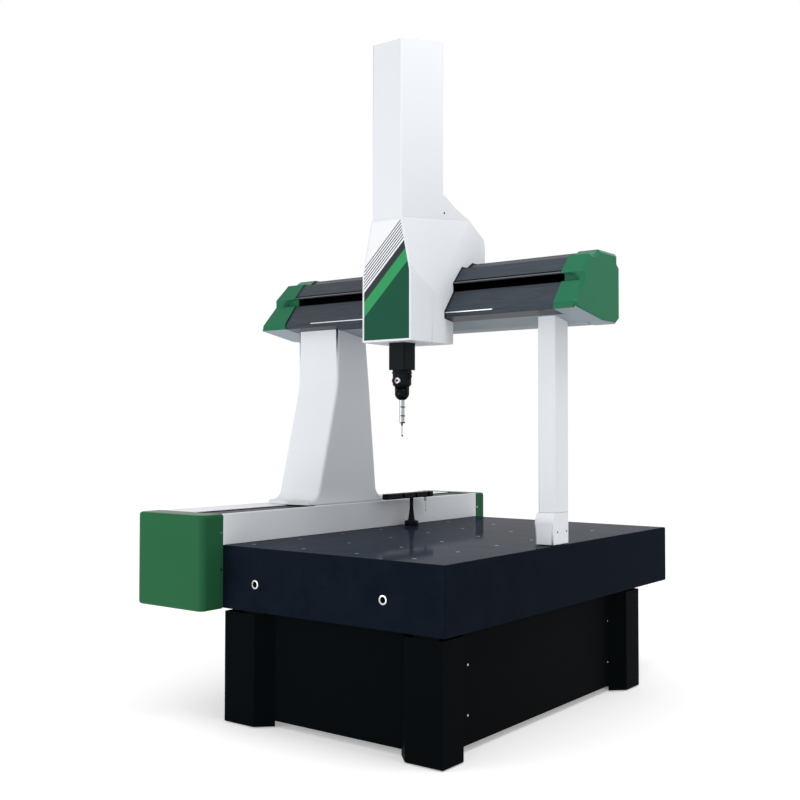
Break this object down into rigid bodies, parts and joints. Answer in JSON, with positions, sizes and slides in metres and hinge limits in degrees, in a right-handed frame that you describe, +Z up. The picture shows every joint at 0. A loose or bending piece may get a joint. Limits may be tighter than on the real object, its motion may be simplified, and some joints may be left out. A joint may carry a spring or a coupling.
{
  "type": "coordinate measuring machine",
  "caption": "Bridge coordinate measuring machine: granite table on a clad stand, side guide, inclined beam, tower carriage and a tilting probe head on a vertical ram.",
  "frame": {"origin": "on the floor under the middle of the whole machine's bounding box at rest", "axes": "+X along the beam to the right, +Y along the guide to the back, +Z up"},
  "size_m": [1.812, 2.2086, 3.0357],
  "materials": {
    "white_paint": "satin powder coat",
    "green_cover": "glossy moulded green",
    "green_cap": "glossy moulded green",
    "beam_cover": "dark satin sheet",
    "granite": "ground black granite",
    "granite_rail": "ground black granite",
    "stand_black": "black satin sheet",
    "frame_black": "black paint",
    "steel": "turned steel",
    "dark_steel": "blackened steel",
    "aluminium": "machined aluminium",
    "cast": "machined cast iron",
    "black_rubber": "toothed belt rubber",
    "black_plastic": "black plastic",
    "black_metal": "black anodised",
    "seal_black": "black brush seal",
    "motor_black": "black motor case",
    "probe_steel": "polished steel"
  },
  "bodies": {
    "base": {"stand_frame": "frame_black", "levelling_feet": "steel", "support_pads": "black_rubber", "stand_corner_covers": "stand_black", "stand_end_panels": "stand_black", "stand_side_panels": "stand_black", "granite_table": "granite", "table_inserts": "steel", "lifting_bushes": "steel", "y_guide_rail": "granite_rail", "y_scale": "steel", "guide_inner_cover": "white_paint", "guide_outer_cover": "white_paint", "guide_strip": "dark_steel", "front_drive_cover": "green_cover", "rear_drive_cover": "green_cover", "y_drive_motor": "motor_black", "y_drive_belt": "black_rubber", "y_idler": "aluminium", "cover_screws": "dark_steel", "rack_post": "black_metal", "rack_body": "black_plastic", "spare_module": "probe_steel"},
    "y_pulley": {"y_drive_pulley": "aluminium"},
    "bridge": {"column": "white_paint", "y_saddle": "aluminium", "y_air_bearings": "aluminium", "right_leg": "white_paint", "leg_shoe": "white_paint", "leg_air_bearing": "aluminium", "beam": "aluminium", "beam_lower_cover": "beam_cover", "beam_upper_cover": "beam_cover", "left_end_cap": "green_cap", "right_end_cap": "green_cap", "x_scale": "steel", "x_drive_motor": "motor_black", "x_drive_belt": "black_rubber", "x_idler": "aluminium", "bridge_screws": "dark_steel"},
    "x_pulley": {"x_drive_pulley": "aluminium"},
    "carriage": {"carriage_frame": "aluminium", "x_air_bearings": "aluminium", "carriage_housing": "white_paint", "passage_seals": "seal_black", "tower_cover": "white_paint", "ram_bearing_rings": "aluminium", "z_drive_motor": "motor_black", "z_drive_belt": "black_rubber", "z_idler": "aluminium", "tower_screws": "dark_steel"},
    "z_pulley": {"z_drive_pulley": "aluminium"},
    "counterweight": {"balance_weight": "dark_steel"},
    "ram": {"ram": "aluminium", "ram_end_cover": "black_metal", "probe_head_mount": "black_metal"},
    "head": {"head_body": "black_metal"},
    "wrist": {"head_ball": "black_metal", "probe_body": "probe_steel"},
    "stylus": {"stylus": "steel"}
  },
  "joints": [
    {"name": "bridge_slide", "type": "slide", "parent": "base", "child": "bridge", "axis": [0, 1, 0], "range_m": [-0.44, 0.56]},
    {"name": "y_pulley_spin", "type": "hinge", "parent": "base", "child": "y_pulley", "pos_m": [-0.753, -1.0423, 0.822], "axis": [1, 0, 0], "continuous": true},
    {"name": "carriage_slide", "type": "slide", "parent": "bridge", "child": "carriage", "axis": [1, 0, 0], "range_m": [-0.37, 0.43]},
    {"name": "x_pulley_spin", "type": "hinge", "parent": "bridge", "child": "x_pulley", "pos_m": [-0.821, -0.172, 1.8], "axis": [0, 1, 0], "continuous": true},
    {"name": "ram_slide", "type": "slide", "parent": "carriage", "child": "ram", "axis": [0, 0, 1], "range_m": [-0.455, 0.125]},
    {"name": "z_pulley_spin", "type": "hinge", "parent": "carriage", "child": "z_pulley", "pos_m": [0.099, -0.27, 2.9], "axis": [1, 0, 0], "continuous": true},
    {"name": "counterweight_slide", "type": "slide", "parent": "carriage", "child": "counterweight", "axis": [0, 0, 1], "range_m": [-0.125, 0.455]},
    {"name": "head_turn", "type": "hinge", "parent": "ram", "child": "head", "pos_m": [0.099, -0.359, 1.465], "axis": [0, 0, 1], "range_deg": [-180, 180]},
    {"name": "wrist_tilt", "type": "hinge", "parent": "head", "child": "wrist", "pos_m": [0.099, -0.359, 1.407], "axis": [-1, 0, 0], "range_deg": [0, 105]},
    {"name": "stylus_overtravel", "type": "slide", "parent": "wrist", "child": "stylus", "axis": [0, 0, 1], "range_m": [0, 0.004], "stiffness_N_per_m": 100, "springref_m": -0.002}
  ],
  "couplings": [
    {"joint": "y_pulley_spin", "follows": "bridge_slide", "rad_per_m": -42.017},
    {"joint": "x_pulley_spin", "follows": "carriage_slide", "rad_per_m": 45.872},
    {"joint": "z_pulley_spin", "follows": "ram_slide", "rad_per_m": -31.447},
    {"joint": "counterweight_slide", "follows": "ram_slide", "ratio": -1}
  ]
}
